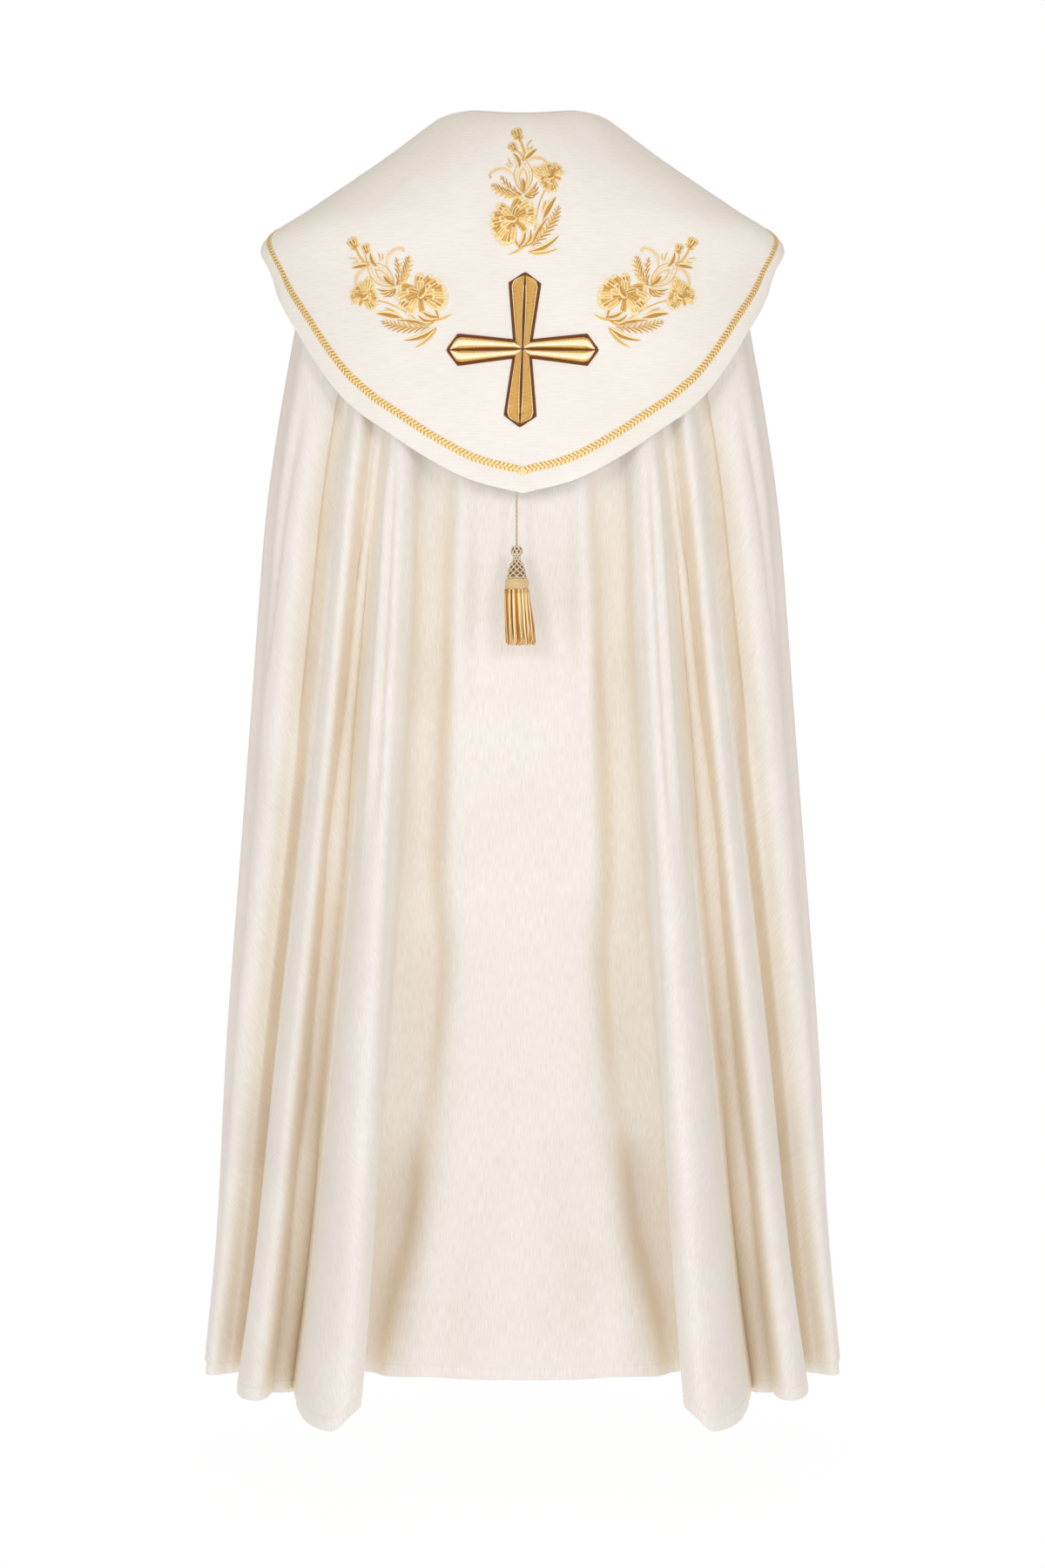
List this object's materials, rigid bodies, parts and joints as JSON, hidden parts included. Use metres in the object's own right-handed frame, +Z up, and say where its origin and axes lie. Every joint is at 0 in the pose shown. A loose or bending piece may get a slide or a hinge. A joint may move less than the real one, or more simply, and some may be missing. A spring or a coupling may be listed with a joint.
{
  "type": "cope vestment",
  "caption": "Worn half-circle church cloak in ivory satin with a stiff shield-shaped hood, gold braid, an applied cross, embroidery and a tassel.",
  "frame": {"origin": "centre of the neck opening at the height of the back neckline, where the wearer's neck and shoulders hold the cope", "axes": "+Z up, -Y out of the garment's back, which carries the hood, +X to the right of someone looking at the back"},
  "size_m": [0.7498, 0.6067, 1.4449],
  "materials": {
    "mantle_satin": "slubbed ivory satin",
    "hood_satin": "slubbed ivory satin, stiffened",
    "gold_braid": "woven gold braid",
    "gold_thread": "gold satin stitch",
    "tassel_thread": "twisted gold thread"
  },
  "bodies": {
    "root": {"mantle": "mantle_satin", "hood": "hood_satin", "galloon": "gold_braid", "cross": "gold_thread", "clasp": "mantle_satin", "tassel_cord": "gold_braid", "tassel": "tassel_thread"}
  },
  "joints": []
}
